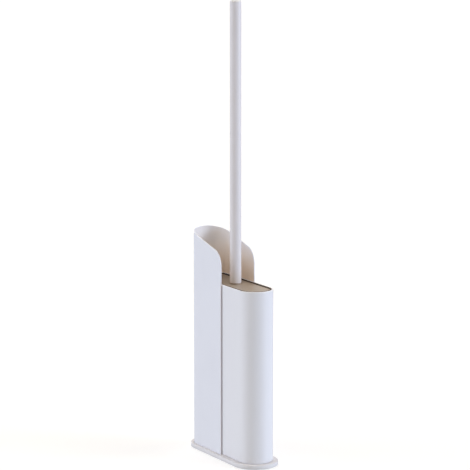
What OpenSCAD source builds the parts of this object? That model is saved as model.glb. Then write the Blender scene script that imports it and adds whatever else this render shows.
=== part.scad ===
// Slim toilet brush holder.
// A moulded base carries a swept rear shell; a lift-out container stands inside the shell, and the
// brush hangs in the container from the lid that is clamped under its straight handle.
// Origin: middle of the base's underside. +X: towards the open front, +Z: up.

/* [Container] */
// Length of the container, front to rear
container_l = 123.6; // [115:0.1:135]
// Width of the container
container_w = 37.6; // [36:0.1:44]
// Height of the container's rim above the floor
rim_z = 185.5; // [170:0.5:220]
// Wall thickness of the container
container_wall = 1.7; // [1.4:0.1:2.2]
// Thickness of the container's floor
container_floor = 2; // [1.5:0.1:4]
// Height of the ledge that carries the lid
ledge_h = 2.4; // [1.6:0.1:4]
// How far the ledge stands in from the wall
ledge_in = 2.1; // [1.6:0.1:2.6]

/* [Rear shell] */
// Sheet thickness of the rear shell
shell_t = 1.2; // [0.8:0.1:1.4]
// Gap between the container and the rear shell
shell_gap = 0.6; // [0.3:0.05:0.8]
// Height of the shell at its rear end
shell_rear_z = 235.8; // [215:0.1:260]
// Position of the shell's upright front edges
shell_front_x = 8.3; // [0:0.1:20]
// Fall of the shell's top edge from rear to front, in degrees
shell_slope = 14.1; // [8:0.1:18]
// Radius of the shoulder between the sloping and the upright edge
shoulder_r = 17.5; // [10:0.5:25]

/* [Base] */
// How far the base flange stands out from the rear shell
flange_out = 3.5; // [2:0.1:8]
// Height of the flange's top face above the floor
flange_z = 4.9; // [4.5:0.1:8]
// Rounding of the flange's upper edge
flange_round = 0.6; // [0.4:0.1:1.4]
// How far the non-slip mat stands proud of the base plate
mat_proud = 0.4; // [0.3:0.1:0.8]
// Thickness of the non-slip mat
mat_t = 2.2; // [1.5:0.1:2.6]
// Height of the plinth's top, on which the container rests
plinth_z = 17; // [14:0.5:24]
// Wall thickness of the plinth
plinth_wall = 2; // [1.5:0.1:3]
// Length of the ballast bar
ballast_l = 78; // [50:1:79]
// Width of the ballast bar
ballast_w = 28; // [15:1:29]
// Distance of the base screws from the middle, front to rear
screw_x = 45; // [44:0.5:46]
// Distance of the base screws from the centre line
screw_y = 8; // [6:0.5:8.5]

/* [Handle] */
// Diameter of the handle tube
handle_d = 12; // [11:0.5:14]
// Wall thickness of the handle tube
handle_wall = 1; // [0.8:0.1:1.2]
// Height of the handle's top above the floor
handle_top_z = 478; // [420:1:520]
// Position of the handle's axis, front to rear
handle_x = 3.5; // [0:0.5:8]
// Height of the end cap above the tube
cap_h = 2; // [1.6:0.1:4]
// Rounding of the end cap's edge
cap_round = 1.2; // [0.4:0.1:1.5]

/* [Lid] */
// Thickness of the lid plate
lid_t = 3; // [2.4:0.1:4]
// How far the lid's top lies below the container's rim
lid_recess = 1.1; // [1:0.1:3]
// Width of the soft gasket round the lid's edge
gasket_w = 1.1; // [0.8:0.1:1.4]
// Gap between the gasket and the container's wall
gasket_gap = 0.3; // [0.3:0.05:0.4]
// How far the gasket's lip lies below the container's rim
gasket_below_rim = 0; // [0:0.1:0.8]
// Depth of the locating skirt under the lid
lid_skirt_h = 5; // [3:0.5:8]
// Thickness of the seal between the handle and the lid
seal_t = 1.1; // [0.8:0.1:2.5]
// Diameter of the seal
seal_d = 11.4; // [8:0.1:11.6]

/* [Brush] */
// Diameter of the stem under the lid
stem_d = 11; // [10:0.5:12]
// Width of the brush head
head_w = 78; // [60:1:84]
// Height of the brush head's bristled part
head_h = 72; // [55:1:76]
// Thickness of the core between the bristles
core_t = 5; // [4:0.5:7]
// Length of the bristles
bristle_l = 10; // [6:0.5:10]
// Height of the head's lower edge above the floor
head_bottom_z = 22; // [21:1:26]
// Corner radius of the head's outline
head_corner_r = 22; // [15:1:26]

/* [Hidden] */
$fn = 96;
running = 0.05;     // radial clearance of a spigot in its hole
seat_gap = 0.3;     // gap under the container's lower edge
edge_ease = 0.2;    // small rounding of moulded edges that nothing touches
cut_past = 1;       // how far a cutting shape runs past what it cuts

// Stadium outlines share these two end centres and differ in their end radius only.
end_x = (container_l - container_w) / 2;
container_r = container_w / 2;
container_in_r = container_r - container_wall;
shell_in_r = container_r + shell_gap;
shell_r = shell_in_r + shell_t;
flange_r = shell_r + flange_out;
plinth_gap = 0.4;
plinth_r = container_in_r - plinth_gap;
plinth_in_r = plinth_r - plinth_wall;
plinth_top_t = 2;
ledge_r = container_in_r - ledge_in;
gasket_r = container_in_r - gasket_gap;
lid_r = gasket_r - gasket_w;

// Base
mat_edge = 3;
mat_fit = 0.15;
flange_low_round = 0.5;
pocket_fit = 0.3;
shell_floor_z = flange_z - shell_t;
screw_d = 3;
screw_play = 0.3;
screw_head_d = 6.6;
screw_head_h = 1.6;
screw_hole_d = 9;
screw_top_z = 13.6;
screw_tip_room = 0.5;
boss_d = 8;
ballast_bottom = flange_z;
ballast_corner = 3;
ballast_lift = 0.4;

// Shell's side outline: the sloping edge, the shoulder's centre and its tangent point
shell_rear_x = -(end_x + shell_r);
slope_z_at_front = shell_rear_z - tan(shell_slope) * (shell_front_x - shell_rear_x);
shoulder_x = shell_front_x - shoulder_r;
shoulder_z = slope_z_at_front + shoulder_r * tan(shell_slope) - shoulder_r / cos(shell_slope);

// Lid and container
lid_top = rim_z - lid_recess;
lid_bottom = lid_top - lid_t;
container_bottom = flange_z + seat_gap;
lid_round = 0.3;
lid_skirt_gap = 0.6;
lid_skirt_r = ledge_r - lid_skirt_gap;
lid_skirt_t = 1.5;
gasket_top = rim_z - gasket_below_rim;
gasket_round = 0.25;
tongue_h = 0.7;
tongue_l = 0.6;
tongue_z = lid_bottom + lid_t / 2;
lid_boss_d = 18;
lid_boss_h = 9;

// Handle and the stud that clamps seal and lid to the stem
tube_bottom = lid_top + seal_t;
tube_top = handle_top_z - cap_h;
tube_in_r = handle_d / 2 - handle_wall;
plug_r = tube_in_r - running;
insert_l = 30;
cap_plug_l = 14;
stud_r = 3;
stud_up = 20;
stud_down = 22;

// Stem and head
stem_top = lid_bottom - lid_boss_h;
head_x = handle_x;
head_top_z = head_bottom_z + head_h;
socket_r = 7;
socket_h = 26;
socket_top = head_top_z + socket_h;
spigot_r = 4;
spigot_l = 20;
spigot_end_room = 0.2;
pin_r = 1.5;
pin_z = socket_top - spigot_l / 2;
core_margin = 4;
neck_w = 30;
neck_r = 7.5;

// ---------- shared shapes ----------

// Flat stadium outline whose ends have radius r
module stadium(r) {
    square([2 * end_x, 2 * r], center = true);
    for (side = [-1, 1]) translate([side * end_x, 0]) circle(r);
}

// Upright stadium column from z0 to z1
module column(r, z0, z1) {
    translate([0, 0, z0]) linear_extrude(z1 - z0) stadium(r);
}

// Upright stadium wall
module wall(r_out, r_in, z0, z1) {
    difference() {
        column(r_out, z0, z1);
        column(r_in, z0 - cut_past, z1 + cut_past);
    }
}

// Carries a half section, drawn as (distance from the middle line, height), round a stadium
module swept_round() {
    translate([end_x, 0, 0]) rotate([0, 0, -90]) rotate_extrude(angle = 180) children();
    translate([-end_x, 0, 0]) rotate([0, 0, 90]) rotate_extrude(angle = 180) children();
    translate([-end_x, 0, 0]) rotate([90, 0, 90]) linear_extrude(2 * end_x) {
        children();
        mirror([1, 0]) children();
    }
}

// Half section of a plate whose outer edges are rounded above and below
module plate_section(r, z0, z1, round_low, round_top) {
    flat_r = r - max(round_low, round_top);
    translate([0, z0]) square([flat_r, z1 - z0]);
    translate([0, z0 + round_low]) square([r, z1 - z0 - round_low - round_top]);
    translate([0, z0]) square([r - round_low, round_low]);
    translate([0, z1 - round_top]) square([r - round_top, round_top]);
    translate([r - round_low, z0 + round_low]) circle(round_low);
    translate([r - round_top, z1 - round_top]) circle(round_top);
}

// Places of the four base screws
screw_places = [for (sx = [-1, 1]) for (sy = [-1, 1]) [sx * screw_x, sy * screw_y, 0]];

// Places its children at the four base screws
module at_screws() {
    for (place = screw_places) translate(place) children();
}

// Rounded rectangle, w wide and from z0 to z1
module rounded_face(w, z0, z1, r) {
    translate([-w / 2, z0 + r]) square([w, z1 - z0 - 2 * r]);
    translate([-w / 2 + r, z0]) square([w - 2 * r, z1 - z0]);
    for (x = [-w / 2 + r, w / 2 - r]) {
        for (z = [z0 + r, z1 - r]) translate([x, z]) circle(r);
    }
}

// Slab along Y with the rounded rectangle as its face
module head_slab(w, z0, z1, r, y0, y1) {
    translate([head_x, y1, 0]) rotate([90, 0, 0]) linear_extrude(y1 - y0) rounded_face(w, z0, z1, r);
}

// Upright cylinder on the handle's axis
module on_axis(r, z0, z1) {
    translate([handle_x, 0, z0]) cylinder(r = r, h = z1 - z0);
}

// ---------- base ----------

// Moulded flange, recessed below for the mat and above for the shell's floor plate
module base_plate() {
    color([0.88, 0.88, 0.88]) difference() {
        swept_round() plate_section(flange_r, mat_proud, flange_z, flange_low_round, flange_round);
        column(flange_r - mat_edge, mat_proud - cut_past, mat_t);
        intersection() {
            column(shell_r + pocket_fit, shell_floor_z, flange_z + cut_past);
            translate([-2 * end_x, -flange_r, 0]) {
                cube([2 * end_x + shell_front_x + pocket_fit, 2 * flange_r, flange_z + cut_past]);
            }
        }
        at_screws() cylinder(r = screw_d / 2 + running, h = flange_z + cut_past);
    }
}

// Rubber sheet on the underside, cut out round the screw heads
module base_mat() {
    color([0.45, 0.44, 0.43]) difference() {
        column(flange_r - mat_edge - mat_fit, 0, mat_t);
        at_screws() translate([0, 0, -cut_past]) cylinder(d = screw_hole_d, h = mat_t + 2 * cut_past);
    }
}

// Self-tapping screw with a cross recess, head downwards, at one of the four places
module base_screw(place) {
    recess_w = 0.9;
    recess_l = 3.6;
    recess_deep = 0.9;
    color([0.7, 0.7, 0.72]) translate(place) difference() {
        union() {
            translate([0, 0, mat_t - screw_head_h]) cylinder(d = screw_head_d, h = screw_head_h);
            translate([0, 0, mat_t]) cylinder(d = screw_d, h = screw_top_z - mat_t);
        }
        for (turn = [0, 90]) rotate([0, 0, turn]) {
            translate([-recess_l / 2, -recess_w / 2, mat_t - screw_head_h - cut_past]) {
                cube([recess_l, recess_w, cut_past + recess_deep]);
            }
        }
    }
}

// Steel bar that keeps the tall, narrow holder upright
module ballast_bar() {
    color([0.4, 0.4, 0.42]) translate([0, 0, ballast_bottom]) {
        linear_extrude(plinth_z - plinth_top_t - ballast_lift - ballast_bottom) {
            square([ballast_l - 2 * ballast_corner, ballast_w], center = true);
            square([ballast_l, ballast_w - 2 * ballast_corner], center = true);
            for (sx = [-1, 1]) {
                for (sy = [-1, 1]) {
                    translate([sx * (ballast_l / 2 - ballast_corner), sy * (ballast_w / 2 - ballast_corner)])
                        circle(ballast_corner);
                }
            }
        }
    }
}

// Hollow plinth that locates the container, covers the ballast and clamps the shell's floor plate
module plinth() {
    plinth_round = 1;
    color([0.82, 0.82, 0.82]) difference() {
        union() {
            difference() {
                swept_round() plate_section(plinth_r, flange_z, plinth_z, edge_ease, plinth_round);
                column(plinth_in_r, flange_z - cut_past, plinth_z - plinth_top_t);
            }
            at_screws() translate([0, 0, flange_z]) {
                cylinder(d = boss_d, h = plinth_z - plinth_top_t / 2 - flange_z);
            }
        }
        at_screws() cylinder(r = screw_d / 2 + running, h = screw_top_z + screw_tip_room);
    }
}

// ---------- rear shell ----------

// Side outline of the shell as (x, z): sloping top edge and rounded shoulder
module shell_side() {
    past_rear = 5;
    rear_x = shell_rear_x - past_rear;
    polygon([
        [rear_x, 0],
        [shell_front_x, 0],
        [shell_front_x, shoulder_z],
        [shoulder_x, shoulder_z],
        [shoulder_x + shoulder_r * sin(shell_slope), shoulder_z + shoulder_r * cos(shell_slope)],
        [rear_x, shell_rear_z + past_rear * tan(shell_slope)]
    ]);
    translate([shoulder_x, shoulder_z]) circle(shoulder_r);
}

// U-shaped sheet with a swept top edge and a floor plate that the plinth clamps down
module rear_shell() {
    floor_top = shell_floor_z + shell_t;
    color([0.93, 0.93, 0.95]) difference() {
        intersection() {
            union() {
                wall(shell_r, shell_in_r, shell_floor_z, shell_rear_z + cut_past);
                column(shell_in_r + shell_t / 2, shell_floor_z, floor_top);
            }
            translate([0, flange_r, 0]) rotate([90, 0, 0]) linear_extrude(2 * flange_r) shell_side();
        }
        at_screws() cylinder(r = screw_d / 2 + screw_play, h = floor_top + cut_past);
    }
}

// ---------- container ----------

// Open vessel with a raised floor that drops over the plinth, and a ledge for the lid
module container() {
    floor_top = plinth_z + container_floor;
    ledge_top = lid_bottom;
    ledge_low = ledge_top - ledge_h;
    chamfer_low = ledge_low - ledge_in;
    in_wall_r = container_in_r + container_wall / 2;
    color([0.94, 0.94, 0.96]) {
        wall(container_r, container_in_r, container_bottom, rim_z);
        column(in_wall_r, plinth_z, floor_top);
        difference() {
            column(in_wall_r, chamfer_low, ledge_top);
            column(ledge_r, ledge_low, ledge_top + cut_past);
            swept_round() polygon([
                [0, chamfer_low - cut_past],
                [container_in_r, chamfer_low - cut_past],
                [container_in_r, chamfer_low],
                [ledge_r, ledge_low],
                [0, ledge_low]
            ]);
        }
    }
}

// ---------- lid ----------

// Half section of the tongue that holds the gasket in the lid's edge, grown by play on its three sides
module tongue_section(play) {
    translate([lid_r - tongue_l - play, tongue_z - tongue_h / 2 - play]) {
        square([tongue_l + play + gasket_w / 2, tongue_h + 2 * play]);
    }
}

// Flat plate with a locating skirt and a boss for the stem, grooved round its edge for the gasket
module lid() {
    color([0.66, 0.6, 0.54]) difference() {
        union() {
            swept_round() plate_section(lid_r, lid_bottom, lid_top, edge_ease, lid_round);
            wall(lid_skirt_r, lid_skirt_r - lid_skirt_t, lid_bottom - lid_skirt_h, lid_bottom + lid_t / 4);
            on_axis(lid_boss_d / 2, stem_top, lid_bottom + lid_t / 4);
        }
        swept_round() tongue_section(running);
        on_axis(stud_r + running, stem_top - cut_past, lid_top + cut_past);
    }
}

// Soft gasket round the lid's edge, with a lip that stands up beside the container's wall
module lid_gasket() {
    color([0.2, 0.17, 0.15]) swept_round() {
        tongue_section(0);
        translate([lid_r, lid_bottom]) square([gasket_w, gasket_top - gasket_round - lid_bottom]);
        translate([lid_r + gasket_round, lid_bottom]) {
            square([gasket_w - 2 * gasket_round, gasket_top - lid_bottom]);
        }
        for (r = [lid_r + gasket_round, gasket_r - gasket_round]) {
            translate([r, gasket_top - gasket_round]) circle(gasket_round);
        }
    }
}

// Soft ring between the handle's lower end and the lid
module lid_seal() {
    color([0.35, 0.3, 0.27]) difference() {
        on_axis(seal_d / 2, lid_top, tube_bottom);
        on_axis(stud_r + running, lid_top - cut_past, tube_bottom + cut_past);
    }
}

// ---------- handle ----------

module handle_tube() {
    color([0.94, 0.94, 0.96]) difference() {
        on_axis(handle_d / 2, tube_bottom, tube_top);
        on_axis(tube_in_r, tube_bottom - cut_past, tube_top + cut_past);
    }
}

// Plug that closes the tube's top, with a rounded edge
module handle_end_cap() {
    r = handle_d / 2;
    color([0.95, 0.95, 0.97]) translate([handle_x, 0, 0]) rotate_extrude() {
        translate([0, tube_top]) square([r, cap_h - cap_round]);
        translate([0, tube_top]) square([r - cap_round, cap_h]);
        translate([0, tube_top - cap_plug_l]) square([plug_r, cap_plug_l]);
        intersection() {
            translate([r - cap_round, handle_top_z - cap_round]) circle(cap_round);
            translate([0, tube_top]) square([r, cap_h]);
        }
    }
}

// Plug in the tube's lower end that the stud screws into
module handle_insert() {
    color([0.8, 0.8, 0.8]) difference() {
        on_axis(plug_r, tube_bottom, tube_bottom + insert_l);
        on_axis(stud_r + running, tube_bottom - cut_past, tube_bottom + stud_up + cut_past);
    }
}

// Steel stud through seal and lid, from the handle's insert into the stem
module clamp_stud() {
    color([0.72, 0.72, 0.74]) on_axis(stud_r, stem_top - stud_down, tube_bottom + stud_up);
}

// ---------- brush ----------

module brush_stem() {
    color([0.66, 0.6, 0.54]) difference() {
        union() {
            on_axis(stem_d / 2, socket_top, stem_top);
            on_axis(spigot_r, socket_top - spigot_l, socket_top + spigot_r / 4);
        }
        on_axis(stud_r + running, stem_top - stud_down - cut_past, stem_top + cut_past);
        translate([head_x, socket_r, pin_z]) rotate([90, 0, 0]) {
            cylinder(r = pin_r + running, h = 2 * socket_r);
        }
    }
}

// Cross pin that locks the head on the stem
module head_pin() {
    color([0.72, 0.72, 0.74]) translate([head_x, socket_r, pin_z]) rotate([90, 0, 0]) {
        cylinder(r = pin_r, h = 2 * socket_r);
    }
}

// Flat paddle between the bristles, with the socket for the stem
module head_core() {
    color([0.9, 0.9, 0.9]) difference() {
        union() {
            head_slab(head_w - 2 * core_margin, head_bottom_z + core_margin, head_top_z,
                head_corner_r - core_margin, -core_t / 2, core_t / 2);
            head_slab(neck_w, head_top_z - head_corner_r, head_top_z + socket_h / 2,
                neck_r, -core_t / 2, core_t / 2);
            on_axis(socket_r, head_top_z, socket_top);
        }
        on_axis(spigot_r + running, socket_top - spigot_l - spigot_end_room, socket_top + cut_past);
        translate([head_x, socket_r + cut_past, pin_z]) rotate([90, 0, 0]) {
            cylinder(r = pin_r + running, h = 2 * (socket_r + cut_past));
        }
    }
}

// Block of bristles on one face of the core, side = -1 or 1
module bristle_block(side) {
    inner = side * core_t / 2;
    outer = side * (core_t / 2 + bristle_l);
    color([0.72, 0.68, 0.63]) {
        head_slab(head_w, head_bottom_z, head_top_z, head_corner_r, min(inner, outer), max(inner, outer));
    }
}

module bristles_near() {
    bristle_block(-1);
}

module bristles_far() {
    bristle_block(1);
}

base_plate();
base_mat();
base_screw(screw_places[0]);  // base_screw_1
base_screw(screw_places[1]);  // base_screw_2
base_screw(screw_places[2]);  // base_screw_3
base_screw(screw_places[3]);  // base_screw_4
ballast_bar();
plinth();
rear_shell();
container();
lid();
lid_gasket();
lid_seal();
handle_tube();
handle_end_cap();
handle_insert();
clamp_stud();
brush_stem();
head_pin();
head_core();
bristles_near();
bristles_far();
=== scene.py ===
"""Looks of the toilet brush holder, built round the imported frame. Lengths are in metres."""
import math
import random

import bmesh
import bpy
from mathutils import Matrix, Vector


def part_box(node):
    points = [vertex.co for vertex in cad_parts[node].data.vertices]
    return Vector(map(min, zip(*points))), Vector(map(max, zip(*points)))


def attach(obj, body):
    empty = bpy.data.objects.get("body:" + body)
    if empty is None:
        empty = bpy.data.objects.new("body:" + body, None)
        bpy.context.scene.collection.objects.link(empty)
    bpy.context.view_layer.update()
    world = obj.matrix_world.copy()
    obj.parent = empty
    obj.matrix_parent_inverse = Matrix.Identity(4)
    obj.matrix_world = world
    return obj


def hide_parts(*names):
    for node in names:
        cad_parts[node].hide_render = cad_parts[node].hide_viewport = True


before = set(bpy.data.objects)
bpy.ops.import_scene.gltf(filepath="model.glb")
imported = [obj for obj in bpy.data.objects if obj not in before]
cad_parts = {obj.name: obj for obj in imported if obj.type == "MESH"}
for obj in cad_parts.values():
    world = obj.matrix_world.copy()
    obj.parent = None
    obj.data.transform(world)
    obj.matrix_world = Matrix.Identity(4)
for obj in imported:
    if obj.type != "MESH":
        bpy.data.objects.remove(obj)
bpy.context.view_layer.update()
MM = 0.001

# ---------- sizes, from the frame and from the few values that its boxes don't give ----------

container_low, container_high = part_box("container")
shell_low, shell_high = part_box("rear_shell")
flange_low, flange_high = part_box("base_plate")
plinth_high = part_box("plinth")[1]
lid_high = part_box("lid")[1]
tube_low, tube_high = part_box("handle_tube")
cap_low, cap_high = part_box("handle_end_cap")
seal_low, seal_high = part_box("lid_seal")
mat_low, mat_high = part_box("base_mat")
gasket_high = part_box("lid_gasket")[1]
near_low, near_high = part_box("bristles_near")
far_low, far_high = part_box("bristles_far")
stem_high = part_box("brush_stem")[1]

CONTAINER_R = container_high.y
END_X = container_high.x - CONTAINER_R      # centres of the stadium's round ends
SHELL_R = shell_high.y
FLANGE_R = flange_high.y
LID_R = lid_high.y
GASKET_R = gasket_high.y
SEAL_R = seal_high.y
HANDLE_X = (tube_low.x + tube_high.x) / 2
HANDLE_R = (tube_high.x - tube_low.x) / 2
RIM_Z = container_high.z

CONTAINER_WALL = 1.7 * MM
CONTAINER_FLOOR = 2.0 * MM
LEDGE_IN = 2.1 * MM         # how far the lid's ledge stands in from the container's wall
LEDGE_H = 2.4 * MM
SHELL_T = 1.2 * MM
SHELL_EDGE_ROUND = 0.4 * MM
SHELL_EDGE_ANGLE = 60       # only the sheet's edges turn more than this many degrees
SHELL_SLOPE = math.radians(14.1)
SHOULDER_R = 17.5 * MM      # round corner between the sloping top edge and the upright front edge
LID_T = 3.0 * MM
LID_SKIRT_GAP = 0.6 * MM
LID_SKIRT_T = 1.5 * MM
LID_SKIRT_H = 5.0 * MM
LID_BOSS_R = 9.0 * MM
LID_BOSS_FLARE = 1.5 * MM
FLANGE_TOP_ROUND = 0.6 * MM
FLANGE_LOW_ROUND = 0.5 * MM
MAT_EDGE = 3.0 * MM         # width of the base's foot outside the mat
POCKET_FIT = 0.3 * MM
TUBE_WALL = 1.0 * MM
TUBE_LIP = 1.0 * MM         # the bore has a ring of vertices this far in from each end
CAP_INSET = 0.05 * MM
SCREW_HOLE_R = 4.5 * MM
TREAD_PITCH = 2.6 * MM
TREAD_WIDTH = 1.1 * MM
TREAD_DEPTH = 0.5 * MM
TREAD_SLOPE = 0.15 * MM
TREAD_MARGIN = 0.7 * TREAD_PITCH
MAT_CHAMFER = 0.3 * MM
CORE_HALF_T = -near_high.y
CUT_PAST = 1.0 * MM         # how far a cutter reaches past what it cuts
MERGE_DISTANCE = 0.002 * MM

ARC_STEPS = 56          # stations round each half circle of a stadium
SIDE_STEPS = 14         # stations along each straight side
POCKET_STEPS = 48       # round the pocket's rear, clear of the base's own stations
SHOULDER_STEPS = 18
SLOPE_STEPS = 12
HOLE_STEPS = 48
LATHE_STEPS = 72
SMOOTH_ANGLE = 35       # edges that turn more than this many degrees stay sharp


# ---------- mesh helpers ----------

def fillet_profile(corners, steps=5):
    """Corners are (r, z, radius); each corner with a radius becomes an arc. Returns (r, z) points."""
    out = []
    last = len(corners) - 1
    for i, (r, z, radius) in enumerate(corners):
        if radius <= 0 or i in (0, last):
            out.append((r, z))
            continue
        here = Vector((r, z))
        before = (Vector(corners[i - 1][:2]) - here).normalized()
        after = (Vector(corners[i + 1][:2]) - here).normalized()
        half = before.angle(after) / 2
        reach = radius / math.tan(half)
        centre = here + (before + after).normalized() * (radius / math.sin(half))
        first = here + before * reach - centre
        end = here + after * reach - centre
        turn = math.atan2(first.x * end.y - first.y * end.x, first.dot(end))
        for k in range(steps + 1):
            a = turn * k / steps
            x = first.x * math.cos(a) - first.y * math.sin(a)
            y = first.x * math.sin(a) + first.y * math.cos(a)
            out.append((centre.x + x, centre.y + y))
    return out


def stadium_stations():
    """(centre x, normal x, normal y) once round a stadium, anticlockwise from the front end's near side."""
    stations = []
    for side in (1, -1):
        for k in range(ARC_STEPS + 1):
            a = math.pi * k / ARC_STEPS - math.pi / 2
            stations.append((side * END_X, side * math.cos(a), side * math.sin(a)))
        for k in range(1, SIDE_STEPS):
            stations.append((side * END_X * (1 - 2 * k / SIDE_STEPS), 0.0, float(side)))
    return stations


def new_object(name, bm, smooth_angle=SMOOTH_ANGLE):
    """Makes an object from a bmesh, merged, with outward normals and edges smoothed below the angle."""
    bmesh.ops.remove_doubles(bm, verts=bm.verts, dist=MERGE_DISTANCE)
    bmesh.ops.recalc_face_normals(bm, faces=bm.faces)
    mesh = bpy.data.meshes.new(name)
    bm.to_mesh(mesh)
    bm.free()
    mesh.polygons.foreach_set("use_smooth", [True] * len(mesh.polygons))
    mesh.set_sharp_from_angle(angle=math.radians(smooth_angle))
    obj = bpy.data.objects.new(name, mesh)
    bpy.context.scene.collection.objects.link(obj)
    return obj


def stitch(bm, rings, close_rings=True, close_profile=False):
    """Joins neighbouring rings of vertices with quads, or triangles where two corners are one vertex."""
    count = len(rings)
    width = len(rings[0])
    for i in range(count if close_rings else count - 1):
        a, b = rings[i], rings[(i + 1) % count]
        for j in range(width if close_profile else width - 1):
            k = (j + 1) % width
            corners = [a[j], a[k], b[k], b[j]]
            unique = [v for n, v in enumerate(corners) if v not in corners[:n]]
            if len(unique) > 2 and bm.faces.get(unique) is None:
                bm.faces.new(unique)


def stadium_sweep(name, profile, closed=False):
    """Carries a profile of (distance from the middle line, height) round the stadium."""
    bm = bmesh.new()
    rings = []
    for cx, nx, ny in stadium_stations():
        rings.append([bm.verts.new((cx + nx * r, ny * r, z)) for r, z in profile])
    stitch(bm, rings, True, closed)
    return new_object(name, bm)


def lathe(name, profile, closed=False):
    """Turns a profile of (radius, height) about the handle's axis."""
    bm = bmesh.new()
    rings = []
    for k in range(LATHE_STEPS):
        a = 2 * math.pi * k / LATHE_STEPS
        ca, sa = math.cos(a), math.sin(a)
        rings.append([bm.verts.new((HANDLE_X + ca * r, sa * r, z)) for r, z in profile])
    stitch(bm, rings, True, closed)
    return new_object(name, bm)


def prism(name, outline, z0, z1):
    """Upright prism over a flat outline of (x, y) points."""
    bm = bmesh.new()
    bottom = [bm.verts.new((x, y, z0)) for x, y in outline]
    top = [bm.verts.new((x, y, z1)) for x, y in outline]
    bm.faces.new(top)
    bm.faces.new(list(reversed(bottom)))
    stitch(bm, [[b, t] for b, t in zip(bottom, top)])
    return new_object(name, bm)


def weighted(obj):
    """Keeps large faces flat next to small rounded edges."""
    mod = obj.modifiers.new("weighted_normals", "WEIGHTED_NORMAL")
    mod.keep_sharp = True
    return obj


# ---------- materials ----------

class Shade:
    """Small wrapper that builds one node material."""

    def __init__(self, name):
        self.material = bpy.data.materials.new(name)
        self.material.use_nodes = True
        self.nodes = self.material.node_tree.nodes
        self.links = self.material.node_tree.links
        self.bsdf = self.nodes["Principled BSDF"]
        self.coords = self.nodes.new("ShaderNodeTexCoord").outputs["Object"]

    def link(self, source, target):
        self.links.new(source, target)

    def noise(self, scale, detail=4.0, roughness=0.55, stretch=(1, 1, 1)):
        """Noise over the object's own space. scale is in waves per metre."""
        mapping = self.nodes.new("ShaderNodeMapping")
        mapping.inputs["Scale"].default_value = stretch
        self.link(self.coords, mapping.inputs["Vector"])
        node = self.nodes.new("ShaderNodeTexNoise")
        node.inputs["Scale"].default_value = scale
        node.inputs["Detail"].default_value = detail
        node.inputs["Roughness"].default_value = roughness
        self.link(mapping.outputs["Vector"], node.inputs["Vector"])
        return node.outputs["Fac"]

    def remap(self, value, low, high, from_low=0.3, from_high=0.7):
        """Maps a value from one range to another, clamped. The default is a noise's useful range."""
        node = self.nodes.new("ShaderNodeMapRange")
        node.inputs["From Min"].default_value = from_low
        node.inputs["From Max"].default_value = from_high
        node.inputs["To Min"].default_value = low
        node.inputs["To Max"].default_value = high
        self.link(value, node.inputs["Value"])
        return node.outputs["Result"]

    def math(self, operation, a, b):
        """A math node on two numbers or sockets."""
        node = self.nodes.new("ShaderNodeMath")
        node.operation = operation
        for socket, value in zip(node.inputs, (a, b)):
            if isinstance(value, (int, float)):
                socket.default_value = value
            else:
                self.link(value, socket)
        return node.outputs["Value"]

    def mix(self, factor, a, b, blend="MIX"):
        """Mixes two colours, each a tuple or a socket."""
        node = self.nodes.new("ShaderNodeMix")
        node.data_type = "RGBA"
        node.blend_type = blend
        node.clamp_factor = True
        self.link(factor, node.inputs["Factor"])
        sockets = [s for s in node.inputs if s.type == "RGBA"]
        for socket, value in zip(sockets, (a, b)):
            if isinstance(value, tuple):
                socket.default_value = (*value, 1.0)
            else:
                self.link(value, socket)
        return [s for s in node.outputs if s.type == "RGBA"][0]

    def darken(self, factor, tone, depth):
        """Multiplies the tone by the depth where the factor is 1."""
        return self.mix(factor, tone, (depth, depth, depth), "MULTIPLY")

    def fade(self, tone, low, high, colour):
        """Turns the tone into the colour between two heights above the floor, in metres.

        The colour is reached at low, which may also be the upper of the two heights.
        """
        node = self.nodes.new("ShaderNodeSeparateXYZ")
        self.link(self.coords, node.inputs["Vector"])
        return self.mix(self.remap(node.outputs["Z"], 1, 0, low, high), tone, colour)

    def bump(self, heights, strength=1.0):
        """Chains bumps from (height socket, distance in metres) pairs into the shader's normal."""
        normal = None
        for height, distance in heights:
            node = self.nodes.new("ShaderNodeBump")
            node.inputs["Strength"].default_value = strength
            node.inputs["Distance"].default_value = distance
            self.link(height, node.inputs["Height"])
            if normal is not None:
                self.link(normal, node.inputs["Normal"])
            normal = node.outputs["Normal"]
        self.link(normal, self.bsdf.inputs["Normal"])


def scaled(colour, factor):
    """A lighter or darker colour, no channel above 1."""
    return tuple(min(1.0, c * factor) for c in colour)


def roughen(s, wear, wear_low, wear_high, grain, roughness):
    """Fine variation about a roughness, from the grain, with worn or smeared patches on top."""
    fine = s.remap(grain, roughness - 0.03, roughness + 0.03)
    s.link(s.math("ADD", s.remap(wear, wear_low, wear_high), fine), s.bsdf.inputs["Roughness"])


def powder_coat(name, colour, roughness=0.5, fades=()):
    """Fine matt powder coat: orange peel and faint handling marks.

    Each fade is (height, height, colour): the coat takes that colour towards the first height.
    """
    s = Shade(name)
    cloud = s.noise(scale=14, detail=3)
    marks = s.noise(scale=55, detail=6, roughness=0.65, stretch=(1, 1, 0.35))
    peel = s.noise(scale=1500, detail=2, roughness=0.5)
    grain = s.noise(scale=5200, detail=2, roughness=0.5)
    tone = s.mix(s.remap(cloud, 0, 1), scaled(colour, 0.985), scaled(colour, 1.01))
    for fade in fades:
        tone = s.fade(tone, *fade)
    worn = s.remap(marks, 0, 0.35, from_low=0.56, from_high=0.78)
    tone = s.darken(worn, tone, 0.94)
    s.link(tone, s.bsdf.inputs["Base Color"])
    roughen(s, marks, -0.05, 0.07, grain, roughness)
    s.bsdf.inputs["Specular IOR Level"].default_value = 0.42
    s.bump([(peel, 0.03 * MM), (grain, 0.012 * MM)], strength=0.55)
    return s.material


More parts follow.
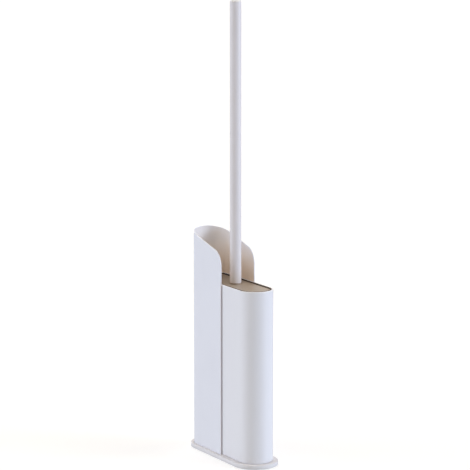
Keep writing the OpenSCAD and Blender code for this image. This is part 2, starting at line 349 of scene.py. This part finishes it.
def moulded(name, colour, roughness=0.42, grain_scale=2600, grain_depth=0.014 * MM, dirt=0.9, fades=()):
    """Satin moulded plastic: fine mould texture, soft flow clouds and light scuffs.

    dirt is how dark the scuffs are, and the fades are as for powder_coat.
    """
    s = Shade(name)
    flow = s.noise(scale=20, detail=3, roughness=0.5, stretch=(1, 1, 0.25))
    scuffs = s.noise(scale=160, detail=7, roughness=0.7, stretch=(1, 1, 0.12))
    grain = s.noise(scale=grain_scale, detail=3, roughness=0.6)
    tone = s.mix(s.remap(flow, 0, 1), scaled(colour, 0.985), scaled(colour, 1.012))
    for fade in fades:
        tone = s.fade(tone, *fade)
    scuffed = s.remap(scuffs, 0, 0.4, from_low=0.58, from_high=0.8)
    tone = s.darken(scuffed, tone, dirt)
    s.link(tone, s.bsdf.inputs["Base Color"])
    roughen(s, scuffs, -0.04, 0.08, grain, roughness)
    s.bsdf.inputs["Specular IOR Level"].default_value = 0.45
    s.bump([(grain, grain_depth), (scuffs, 0.01 * MM)], strength=0.6)
    return s.material


def rubber(name, colour, roughness=0.7, specular=0.5):
    """Matt rubber: uneven tone and a fine grain."""
    s = Shade(name)
    cloud = s.noise(scale=60, detail=4)
    grain = s.noise(scale=1900, detail=3, roughness=0.6)
    tone = s.mix(s.remap(cloud, 0, 1), scaled(colour, 0.88), scaled(colour, 1.12))
    s.link(tone, s.bsdf.inputs["Base Color"])
    s.link(s.remap(grain, roughness - 0.08, roughness + 0.08), s.bsdf.inputs["Roughness"])
    s.bsdf.inputs["Specular IOR Level"].default_value = specular
    s.bump([(grain, 0.03 * MM)], strength=0.6)
    return s.material


def steel(name, colour, roughness=0.34):
    """Bare or plated steel: clouded tone and upright streaks in the gloss."""
    s = Shade(name)
    streaks = s.noise(scale=900, detail=4, roughness=0.6, stretch=(1, 1, 0.06))
    cloud = s.noise(scale=120, detail=3)
    tone = s.mix(s.remap(cloud, 0, 1), scaled(colour, 0.9), scaled(colour, 1.08))
    s.link(tone, s.bsdf.inputs["Base Color"])
    s.bsdf.inputs["Metallic"].default_value = 1.0
    s.link(s.remap(streaks, roughness - 0.08, roughness + 0.1), s.bsdf.inputs["Roughness"])
    s.bump([(streaks, 0.008 * MM)], strength=0.5)
    return s.material


WHITE_SHELL = (0.766, 0.797, 0.89)
WHITE_CONTAINER = (0.772, 0.792, 0.86)
WHITE_HANDLE = (0.742, 0.732, 0.78)
WHITE_BASE = (0.745, 0.75, 0.795)
# The inside's colours are painted light: a less blue white than the outside for the hollow's warmer shade,
# and a warm tone for light bounced off the taupe lid.
INSIDE_WHITE = (0.788, 0.778, 0.798)
INSIDE_LID_BOUNCE = (0.876, 0.745, 0.628)     # painted warm light bounced off the taupe lid, just above the container's rim
# The handle foot's colour below is a painted reflection of the taupe lid.
HANDLE_LID_REFLECTION = (0.742, 0.70, 0.70)
SEAM_SHADE = (0.775, 0.745, 0.80)        # painted shade on the shell's front edge below the container's rim, beside the container
RIM_HIGHLIGHT = (0.86, 0.88, 0.95)          # painted highlight: the rim is painted a little lighter than the wall
TAUPE = (0.365, 0.308, 0.255)

shell_paint = powder_coat("shell_paint", WHITE_SHELL)
# Painted highlight: the sheet's rounded edges are painted lighter than its coat. Below the container's rim
# they take a painted shade, where the front edge stands beside the container.
shell_edge_highlight = powder_coat("shell_edge_highlight", scaled(WHITE_SHELL, 1.12),
                         fades=((RIM_Z, RIM_Z + 8 * MM, SEAM_SHADE),))
# Painted light inside the shell: warm bounce from the lid just above the container's rim, back to white
# lower down, where the container hides it.
shell_inside = powder_coat("shell_inside", INSIDE_WHITE,
                           fades=((RIM_Z + 2 * MM, RIM_Z + 36 * MM, INSIDE_LID_BOUNCE),
                                  (RIM_Z - 34 * MM, RIM_Z, INSIDE_WHITE)))
# Painted reflection: the handle's lowest 18 mm is painted warm, as if reflecting the taupe lid.
handle_paint = powder_coat("handle_paint", WHITE_HANDLE, roughness=0.3,
                           fades=((tube_low.z, tube_low.z + 18 * MM, HANDLE_LID_REFLECTION),))
# Painted highlight: the top 1.2 mm of the rim is painted lighter.
container_plastic = moulded("container_plastic", WHITE_CONTAINER,
                            fades=((RIM_Z, RIM_Z - 1.2 * MM, RIM_HIGHLIGHT),))
# Painted shade: the flange is painted darker towards the floor, below 3.6 mm.
base_plastic = moulded("base_plastic", WHITE_BASE, roughness=0.48,
                       fades=((0.5 * MM, 3.6 * MM, scaled(WHITE_BASE, 0.86)),))
cap_plastic = moulded("cap_plastic", (0.80, 0.80, 0.82), roughness=0.36)
inner_plastic = moulded("inner_plastic", (0.66, 0.66, 0.66), roughness=0.5)
taupe_plastic = moulded("taupe_plastic", TAUPE, grain_scale=1700, grain_depth=0.02 * MM, dirt=0.86)
core_plastic = moulded("core_plastic", (0.70, 0.69, 0.67), roughness=0.46)
gasket_rubber = rubber("gasket_rubber", (0.07, 0.054, 0.043), specular=0.15)
seal_rubber = rubber("seal_rubber", (0.44, 0.36, 0.29), roughness=0.6)
mat_rubber = rubber("mat_rubber", (0.09, 0.088, 0.085), roughness=0.8)
bristle_rubber = rubber("bristle_rubber", (0.46, 0.41, 0.36), roughness=0.6)
zinc_steel = steel("zinc_steel", (0.62, 0.62, 0.63))
ballast_steel = steel("ballast_steel", (0.22, 0.22, 0.23), roughness=0.55)


def finish_piece(obj, material, body, slot_name, *nodes):
    """Gives a piece its material and its body, and hides the CAD nodes that it stands for. The slot name is
    not used.
    """
    obj.data.materials.clear()
    obj.data.materials.append(material)
    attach(obj, body)
    if nodes:
        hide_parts(*nodes)
    return obj


# ---------- base ----------

def carve(obj, cutter):
    """Cuts one object out of another and keeps the result as the mesh."""
    cut = obj.modifiers.new("cut", "BOOLEAN")
    cut.operation = "DIFFERENCE"
    cut.solver = "EXACT"
    cut.object = cutter
    graph = bpy.context.evaluated_depsgraph_get()
    obj.data = bpy.data.meshes.new_from_object(obj.evaluated_get(graph))
    obj.modifiers.clear()
    bpy.data.objects.remove(cutter)
    obj.data.set_sharp_from_angle(angle=math.radians(SMOOTH_ANGLE))


def cut_pocket(base):
    """Recesses the base's top for the shell and its floor plate, a little wider than they are."""
    radius = SHELL_R + POCKET_FIT
    front = shell_high.x + POCKET_FIT
    outline = [(front, radius)]
    for k in range(POCKET_STEPS):
        a = math.pi / 2 + math.pi * (k + 0.5) / POCKET_STEPS
        outline.append((-END_X + radius * math.cos(a), radius * math.sin(a)))
    outline.append((front, -radius))
    carve(base, prism("pocket_cutter", outline, shell_low.z, flange_high.z + CUT_PAST))


def make_base():
    """Moulded flange with rounded edges, recessed under for the mat and over for the shell."""
    top, low = flange_high.z, flange_low.z
    profile = fillet_profile([      # distance from the middle line, height, rounding of the corner
        (0, top, 0),
        (FLANGE_R, top, FLANGE_TOP_ROUND),
        (FLANGE_R, low, FLANGE_LOW_ROUND),
        (FLANGE_R - MAT_EDGE, low, 0.2 * MM),
        (FLANGE_R - MAT_EDGE, mat_high.z, 0),
        (0, mat_high.z, 0),
    ], steps=6)
    base = stadium_sweep("base_moulding", profile)
    cut_pocket(base)
    finish_piece(weighted(base), base_plastic, "root", "base_plastic", "base_plate")


def make_mat():
    """Rubber sheet with a grooved tread, cut out round the four screw heads."""
    edge = mat_high.y
    top, low = mat_high.z, mat_low.z
    profile = [(0, top), (edge, top), (edge, low + MAT_CHAMFER), (edge - MAT_CHAMFER, low)]
    groove = edge - TREAD_MARGIN
    while groove > TREAD_MARGIN:
        profile.append((groove + TREAD_WIDTH / 2, low))
        profile.append((groove + TREAD_WIDTH / 2 - TREAD_SLOPE, low + TREAD_DEPTH))
        profile.append((groove - TREAD_WIDTH / 2 + TREAD_SLOPE, low + TREAD_DEPTH))
        profile.append((groove - TREAD_WIDTH / 2, low))
        groove -= TREAD_PITCH
    profile.append((0, low))
    mat = stadium_sweep("base_mat_tread", profile)
    for number in range(1, 5):
        screw_low, screw_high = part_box(f"base_screw_{number}")
        middle = (screw_low + screw_high) / 2
        ring = []
        for k in range(HOLE_STEPS):
            a = 2 * math.pi * k / HOLE_STEPS
            ring.append((middle.x + SCREW_HOLE_R * math.cos(a), middle.y + SCREW_HOLE_R * math.sin(a)))
        carve(mat, prism("hole_cutter", ring, low - CUT_PAST, top + CUT_PAST))
    finish_piece(mat, mat_rubber, "root", "mat_rubber", "base_mat")


# ---------- rear shell ----------

def shell_top(x):
    """Height of the shell's top edge at x."""
    edge = shell_high.x
    line_at_edge = shell_high.z - math.tan(SHELL_SLOPE) * (edge - shell_low.x)
    centre_x = edge - SHOULDER_R
    centre_z = line_at_edge + SHOULDER_R * math.tan(SHELL_SLOPE) - SHOULDER_R / math.cos(SHELL_SLOPE)
    tangent_x = centre_x + SHOULDER_R * math.sin(SHELL_SLOPE)
    if x <= tangent_x:
        return line_at_edge + math.tan(SHELL_SLOPE) * (edge - x)
    return centre_z + math.sqrt(max(0.0, SHOULDER_R ** 2 - (x - centre_x) ** 2))


def shell_side():
    """Points (x, z) of one side's edge: up the front, round the shoulder and back along the slope."""
    edge = shell_high.x
    centre_x = edge - SHOULDER_R
    centre_z = shell_top(edge)
    turn = math.pi / 2 - SHELL_SLOPE
    side = []
    for k in range(SHOULDER_STEPS + 1):
        a = turn * k / SHOULDER_STEPS
        side.append((centre_x + SHOULDER_R * math.cos(a), centre_z + SHOULDER_R * math.sin(a)))
    shoulder_end = side[-1][0]
    for k in range(1, SLOPE_STEPS + 1):
        x = shoulder_end + (-END_X - shoulder_end) * k / SLOPE_STEPS
        side.append((x, shell_top(x)))
    return side


def rear_arc(radius):
    """Points (x, y) round the rear end, from the near side to the far side."""
    arc = []
    for k in range(ARC_STEPS + 1):
        a = -math.pi / 2 - math.pi * k / ARC_STEPS
        arc.append((-END_X + radius * math.cos(a), radius * math.sin(a)))
    return arc


def make_rear_shell():
    """Sheet of even thickness: two flat sides and the round rear, with softly rounded edges.

    It is drawn on its middle surface. Round the rear, its top is that of the outer surface.
    """
    bm = bmesh.new()
    bottom = shell_low.z
    radius = SHELL_R - SHELL_T / 2
    columns = []
    for x, y in rear_arc(radius):
        top = shell_top(x - SHELL_T / 2 if x < -END_X else x)
        columns.append([bm.verts.new((x, y, bottom)), bm.verts.new((x, y, top))])
    stitch(bm, columns, False)
    for y, (rear_foot, rear_top) in ((-radius, columns[0]), (radius, columns[-1])):
        front_foot = bm.verts.new((shell_high.x, y, bottom))
        edge = [bm.verts.new((x, y, z)) for x, z in shell_side()[:-1]]
        bm.faces.new([front_foot, *edge, rear_top, rear_foot])
    shell = new_object("rear_shell_sheet", bm)
    solid = shell.modifiers.new("sheet", "SOLIDIFY")
    solid.thickness = SHELL_T
    solid.offset = 0
    solid.material_offset = 1
    solid.material_offset_rim = 2
    bevel = shell.modifiers.new("edge_round", "BEVEL")
    bevel.width = SHELL_EDGE_ROUND
    bevel.segments = 4
    bevel.limit_method = "ANGLE"
    bevel.angle_limit = math.radians(SHELL_EDGE_ANGLE)
    bevel.material = 2
    weighted(shell)
    finish_piece(shell, shell_paint, "root", "shell_paint", "rear_shell")
    shell.data.materials.append(shell_inside)
    shell.data.materials.append(shell_edge_highlight)


def make_shell_floor():
    """The shell's floor plate, clamped under the plinth."""
    inner = SHELL_R - SHELL_T
    outline = [(shell_high.x, -inner), *rear_arc(inner), (shell_high.x, inner)]
    plate = prism("rear_shell_floor", outline, shell_low.z, shell_low.z + SHELL_T)
    finish_piece(plate, shell_paint, "root", "shell_paint")


# ---------- container ----------

def make_container():
    """Open vessel with a skirt round the plinth, a rounded rim and a ledge that the lid rests on."""
    outer = CONTAINER_R
    inner = outer - CONTAINER_WALL
    ledge = inner - LEDGE_IN
    ledge_top = lid_plate_bottom()
    floor_low = plinth_high.z
    floor_top = floor_low + CONTAINER_FLOOR
    bottom = container_low.z
    profile = fillet_profile([      # distance from the middle line, height, rounding of the corner
        (0, floor_low, 0),
        (inner, floor_low, 1.2 * MM),
        (inner, bottom, 0.3 * MM),
        (outer, bottom, 0.15 * MM),
        (outer, RIM_Z, 0.7 * MM),
        (inner, RIM_Z, 0.6 * MM),
        (inner, ledge_top, 0.3 * MM),
        (ledge, ledge_top, 0.4 * MM),
        (ledge, ledge_top - LEDGE_H, 0.4 * MM),
        (inner, ledge_top - LEDGE_H - LEDGE_IN, 1.0 * MM),
        (inner, floor_top, 5.0 * MM),
        (0, floor_top, 0),
    ], steps=6)
    vessel = weighted(stadium_sweep("container_vessel", profile))
    finish_piece(vessel, container_plastic, "container", "container_plastic", "container")


# ---------- lid, seal and handle ----------

def lid_plate_bottom():
    """Height of the lid plate's underside, which is also the top of the ledge."""
    return lid_high.z - LID_T


def make_lid():
    """Lid plate with its locating skirt, the gasket round its edge and the boss under the handle."""
    bottom = lid_plate_bottom()
    ledge = CONTAINER_R - CONTAINER_WALL - LEDGE_IN
    skirt = ledge - LID_SKIRT_GAP
    skirt_in = skirt - LID_SKIRT_T
    skirt_low = bottom - LID_SKIRT_H
    profile = fillet_profile([
        (0, lid_high.z, 0),
        (LID_R, lid_high.z, 0.3 * MM),
        (LID_R, bottom, 0.2 * MM),
        (skirt, bottom, 0.3 * MM),
        (skirt, skirt_low, 0.4 * MM),
        (skirt_in, skirt_low, 0.4 * MM),
        (skirt_in, bottom, 0.5 * MM),
        (0, bottom, 0),
    ])
    lid = weighted(stadium_sweep("lid_plate", profile))
    finish_piece(lid, taupe_plastic, "brush", "taupe_plastic", "lid")
    gasket = stadium_sweep("lid_gasket_ring", fillet_profile([
        (LID_R, bottom + LID_T / 3, 0),
        (LID_R, gasket_high.z, 0.2 * MM),
        (GASKET_R, gasket_high.z, 0.25 * MM),
        (GASKET_R, bottom, 0.2 * MM),
        (LID_R, bottom, 0),
    ]), closed=True)
    finish_piece(gasket, gasket_rubber, "brush", "gasket_rubber", "lid_gasket")
    inside_plate = bottom + LID_T / 10
    boss = weighted(lathe("lid_boss", fillet_profile([
        (0, inside_plate, 0),
        (LID_BOSS_R + LID_BOSS_FLARE, inside_plate, 0),
        (LID_BOSS_R, inside_plate - LID_BOSS_FLARE, 1.0 * MM),
        (LID_BOSS_R, stem_high.z, 0.8 * MM),
        (0, stem_high.z, 0),
    ])))
    finish_piece(boss, taupe_plastic, "brush", "taupe_plastic")


def make_handle():
    """Seal ring, tube and end cap, all turned about the handle's axis."""
    foot = tube_low.z
    seal = lathe("seal_ring", fillet_profile([
        (0, seal_low.z, 0),
        (SEAL_R, seal_low.z, 0.2 * MM),
        (SEAL_R, seal_high.z, 0.2 * MM),
        (0, seal_high.z, 0),
    ]))
    finish_piece(weighted(seal), seal_rubber, "brush", "seal_rubber", "lid_seal")
    inner_r = HANDLE_R - TUBE_WALL
    tube = lathe("handle_tube_skin", fillet_profile([
        (inner_r, tube_high.z - TUBE_LIP, 0),
        (inner_r, tube_high.z, 0.1 * MM),
        (HANDLE_R, tube_high.z, 0.18 * MM),
        (HANDLE_R, foot, 0.3 * MM),
        (inner_r, foot, 0.2 * MM),
        (inner_r, foot + TUBE_LIP, 0),
    ]), closed=True)
    finish_piece(weighted(tube), handle_paint, "brush", "handle_paint", "handle_tube")
    cap_r = HANDLE_R - CAP_INSET
    cap = lathe("handle_cap", fillet_profile([
        (0, cap_low.z, 0),
        (inner_r, cap_low.z, 0.5 * MM),
        (inner_r, tube_high.z, 0),
        (cap_r, tube_high.z, 0.15 * MM),
        (cap_r, cap_high.z, 1.2 * MM),
        (0, cap_high.z, 0),
    ], steps=7))
    finish_piece(weighted(cap), cap_plastic, "brush", "cap_plastic", "handle_end_cap")


# ---------- brush head ----------

# How wide a bristle is, as a part of its root, at parts of its length.
BRISTLE_TAPER = ((0.0, 1.0), (0.35, 0.86), (0.7, 0.7), (0.9, 0.62), (0.97, 0.45))
TIP_START = 0.9         # from here on the bristle's end rounds off, below the tip radius
BRISTLE_SIDES = 7
BRISTLE_ANGLE = 60      # smoothing angle that leaves a bristle's tip round
FRINGE_SEED = 23
BRISTLE_SEED = 7


def add_bristle(bm, root, direction, length, root_r, tip_r):
    """One tapered, round-tipped bristle."""
    axis = direction.normalized()
    across = axis.orthogonal().normalized()
    up = axis.cross(across)
    rings = []
    for along, width in BRISTLE_TAPER:
        radius = max(tip_r, root_r * width) if along < TIP_START else root_r * width
        centre = root + axis * (length * along)
        ring = []
        for k in range(BRISTLE_SIDES):
            a = 2 * math.pi * k / BRISTLE_SIDES
            ring.append(bm.verts.new(centre + (across * math.cos(a) + up * math.sin(a)) * radius))
        rings.append(ring)
    tip = bm.verts.new(root + axis * length)
    for k in range(BRISTLE_SIDES):
        n = (k + 1) % BRISTLE_SIDES
        for a, b in zip(rings, rings[1:]):
            bm.faces.new([a[k], a[n], b[n], b[k]])
        bm.faces.new([rings[-1][k], rings[-1][n], tip])
    bm.faces.new(list(reversed(rings[0])))


def inside_rounded(x, z, half_w, z0, z1, r):
    """True where (x, z) lies in the rounded rectangle, its edge included."""
    rounding_error = 1e-9
    cx = min(max(x, -half_w + r), half_w - r)
    cz = min(max(z, z0 + r), z1 - r)
    return abs(x) <= half_w and z0 <= z <= z1 and math.hypot(x - cx, z - cz) <= r + rounding_error


def make_bristles(name, node, side, low, high):
    """Rows of soft bristles on one face of the paddle, leaning a little at random."""
    rng = random.Random(BRISTLE_SEED + side)
    bm = bmesh.new()
    pitch_x = 4.3 * MM
    pitch_z = 3.8 * MM
    root_r = 1.15 * MM
    tip_r = 0.7 * MM
    lean_most = 0.05
    shortest = 0.96
    face = side * CORE_HALF_T
    length = (high.y - low.y) - 0.3 * MM
    half_w = (high.x - low.x) / 2
    middle = (high.x + low.x) / 2
    corner = 22 * MM
    inset = 4.6 * MM
    top_inset = 1.2 * MM
    rows = int((high.z - low.z) / pitch_z) + 1
    columns = int((high.x - low.x) / pitch_x) + 2
    for row in range(rows):
        z = low.z + inset + row * pitch_z
        shift = pitch_x / 2 if row % 2 else 0.0
        for col in range(-columns // 2, columns // 2 + 1):
            x = col * pitch_x + shift
            lean = Vector((rng.uniform(-lean_most, lean_most), side, rng.uniform(-lean_most, lean_most)))
            if not inside_rounded(x, z, half_w - inset, low.z + inset, high.z - top_inset, corner - inset):
                continue
            reach = length * rng.uniform(shortest, 1.0)
            add_bristle(bm, Vector((middle + x, face, z)), lean, reach, root_r, tip_r)
    bristles = new_object(name, bm, BRISTLE_ANGLE)
    finish_piece(bristles, bristle_rubber, "brush", "bristle_rubber", node)


def paddle_rim(half_w, z0, z1, r):
    """Points round the paddle's rounded rim, each (x, z, outward x, outward z)."""
    corner_steps = 9
    rim = []
    for sx, sz, start in ((1, 1, 0), (-1, 1, 90), (-1, -1, 180), (1, -1, 270)):
        cx = sx * (half_w - r)
        cz = z1 - r if sz > 0 else z0 + r
        for k in range(corner_steps + 1):
            a = math.radians(start + 90 * k / corner_steps)
            rim.append((cx + r * math.cos(a), cz + r * math.sin(a), math.cos(a), math.sin(a)))
    return rim


def spaced_round(rim, pitch):
    """Points a pitch apart along a closed line."""
    spaced = []
    travelled = 0.0
    for i, here in enumerate(rim):
        there = rim[(i + 1) % len(rim)]
        span = math.hypot(there[0] - here[0], there[1] - here[1])
        while travelled < span:
            t = travelled / span
            spaced.append([a + (b - a) * t for a, b in zip(here, there)])
            travelled += pitch
        travelled -= span
    return spaced


def make_edge_bristles():
    """A double row of short bristles round the paddle's rim, left out at the top, beside the socket."""
    rng = random.Random(FRINGE_SEED)
    bm = bmesh.new()
    middle = (near_high.x + near_low.x) / 2
    margin = 4 * MM
    corner = 18 * MM
    pitch = 3.6 * MM
    row_y = 1.3 * MM
    lean_most = 0.08
    length = 4.3 * MM
    root_depth = 0.6 * MM
    root_r = 1.0 * MM
    tip_r = 0.6 * MM
    top_facing = 0.3
    top = near_high.z
    rim = paddle_rim((near_high.x - near_low.x) / 2 - margin, near_low.z + margin, top, corner)
    for x, z, nx, nz in spaced_round(rim, pitch):
        if z > top - corner and nz > top_facing:
            continue
        for y in (-row_y, row_y):
            lean = Vector((nx, rng.uniform(-lean_most, lean_most), nz))
            root = Vector((middle + x, y, z)) - lean.normalized() * root_depth
            add_bristle(bm, root, lean, length, root_r, tip_r)
    fringe = new_object("bristles_edge", bm, BRISTLE_ANGLE)
    finish_piece(fringe, bristle_rubber, "brush", "bristle_rubber")


# ---------- kept CAD nodes ----------

def dress_node(name, material):
    """Gives a CAD node its material."""
    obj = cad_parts[name]
    obj.data.materials.clear()
    obj.data.materials.append(material)


def dress_cad():
    """The CAD nodes that stay as they are: the inner hardware, the plinth and the brush's stem and core."""
    for number in range(1, 5):
        dress_node(f"base_screw_{number}", zinc_steel)
    dress_node("ballast_bar", ballast_steel)
    dress_node("plinth", inner_plastic)
    dress_node("handle_insert", inner_plastic)
    dress_node("clamp_stud", zinc_steel)
    dress_node("brush_stem", taupe_plastic)
    dress_node("head_pin", zinc_steel)
    dress_node("head_core", core_plastic)


# ---------- floor, light and camera ----------

COOL_LIGHT = (0.80, 0.93, 1.16)
WARM_LIGHT = (1.12, 0.98, 0.80)
FLOOR_SIZE = 40.0
FLOOR_GLOW = 0.60       # what the camera sees of the floor, on top of its own pale grey
FLOOR_BOUNCE = 0.66     # what the floor throws back at the object
ROOM_GLOW = 0.01        # what the room itself throws on the object

# name, azimuth and elevation in degrees, strength, angular size in degrees, colour
SOFTBOXES = (
    ("right_softbox", 135, 11, 1.61, 25, COOL_LIGHT),
    ("right_high_softbox", 145, 42, 1.06, 50, WARM_LIGHT),
    ("left_softbox", 335, 12, 1.23, 50, COOL_LIGHT),
    ("left_high_softbox", 335, 42, 0.72, 50, WARM_LIGHT),
    ("front_high_softbox", 30, 42, 0.74, 50, WARM_LIGHT),
    ("rear_softbox", 250, 42, 0.95, 50, WARM_LIGHT),
    ("rear_low_softbox", 250, 13, 0.28, 50, COOL_LIGHT),
)


def make_floor():
    """A pale floor. The camera sees it near white; it throws a weaker, even light back at the object."""
    reach = FLOOR_SIZE / 2
    bm = bmesh.new()
    corners = ((-1, -1), (1, -1), (1, 1), (-1, 1))
    bm.faces.new([bm.verts.new((sx * reach, sy * reach, 0)) for sx, sy in corners])
    floor = new_object("floor", bm)
    s = Shade("floor")
    s.bsdf.inputs["Base Color"].default_value = (0.5, 0.5, 0.505, 1)
    s.bsdf.inputs["Roughness"].default_value = 0.9
    s.bsdf.inputs["Specular IOR Level"].default_value = 0.1
    s.bsdf.inputs["Emission Color"].default_value = (0.97, 0.985, 1, 1)
    s.bsdf.inputs["Emission Strength"].default_value = FLOOR_GLOW
    bounce = s.nodes.new("ShaderNodeEmission")
    bounce.inputs["Color"].default_value = (1, 1, 1, 1)
    bounce.inputs["Strength"].default_value = FLOOR_BOUNCE
    path = s.nodes.new("ShaderNodeLightPath")
    mix = s.nodes.new("ShaderNodeMixShader")
    s.link(path.outputs["Is Camera Ray"], mix.inputs["Fac"])
    s.link(bounce.outputs["Emission"], mix.inputs[1])
    s.link(s.bsdf.outputs["BSDF"], mix.inputs[2])
    s.link(mix.outputs["Shader"], s.nodes["Material Output"].inputs["Surface"])
    floor.data.materials.append(s.material)


def make_sun(name, azimuth, elevation, strength, spread, colour):
    """A soft distant light. Azimuth is the way it comes from: 0 from -Y, 90 from +X."""
    light = bpy.data.lights.new(name, "SUN")
    light.energy = strength
    light.angle = math.radians(spread)
    light.color = colour
    obj = bpy.data.objects.new(name, light)
    a, e = math.radians(azimuth), math.radians(elevation)
    source = Vector((math.sin(a) * math.cos(e), -math.cos(a) * math.cos(e), math.sin(e)))
    obj.rotation_mode = "QUATERNION"
    obj.rotation_quaternion = source.to_track_quat("Z", "Y")
    bpy.context.scene.collection.objects.link(obj)


def make_world():
    """The camera sees the same near-white as the floor; the object gets almost no light from the room."""
    world = bpy.data.worlds.new("studio")
    bpy.context.scene.world = world
    world.use_nodes = True
    nodes, links = world.node_tree.nodes, world.node_tree.links
    seen = nodes["Background"]
    seen.inputs["Color"].default_value = (0.97, 0.97, 0.985, 1)
    seen.inputs["Strength"].default_value = 1.0
    room = nodes.new("ShaderNodeBackground")
    room.inputs["Color"].default_value = (0.98, 0.97, 0.96, 1)
    room.inputs["Strength"].default_value = ROOM_GLOW
    path = nodes.new("ShaderNodeLightPath")
    mix = nodes.new("ShaderNodeMixShader")
    links.new(path.outputs["Is Camera Ray"], mix.inputs["Fac"])
    links.new(room.outputs["Background"], mix.inputs[1])
    links.new(seen.outputs["Background"], mix.inputs[2])
    links.new(mix.outputs["Shader"], nodes["World Output"].inputs["Surface"])


def make_camera():
    """A long lens that looks at the front end and the near side, from slightly above."""
    azimuth = math.radians(59.6)
    pitch = math.radians(9.9)
    distance = 2.3683
    height = 0.6483
    sideways = 1.2 * MM
    data = bpy.data.cameras.new("camera")
    data.sensor_width = 36
    data.lens = 177.7
    data.clip_start = 0.05
    data.clip_end = 200
    camera = bpy.data.objects.new("camera", data)
    back = Vector((math.sin(azimuth), -math.cos(azimuth), 0))
    right = Vector((math.cos(azimuth), math.sin(azimuth), 0))
    camera.location = back * distance + right * sideways + Vector((0, 0, height))
    camera.rotation_euler = (math.pi / 2 - pitch, 0, azimuth)
    bpy.context.scene.collection.objects.link(camera)
    bpy.context.scene.camera = camera


make_camera()
make_world()
for softbox in SOFTBOXES:
    make_sun(*softbox)
make_floor()
make_base()
make_mat()
make_rear_shell()
make_shell_floor()
make_container()
make_lid()
make_handle()
make_bristles("bristles_near_tufts", "bristles_near", -1, near_low, near_high)
make_bristles("bristles_far_tufts", "bristles_far", 1, far_low, far_high)
make_edge_bristles()
dress_cad()
bpy.context.scene.view_settings.view_transform = "Standard"
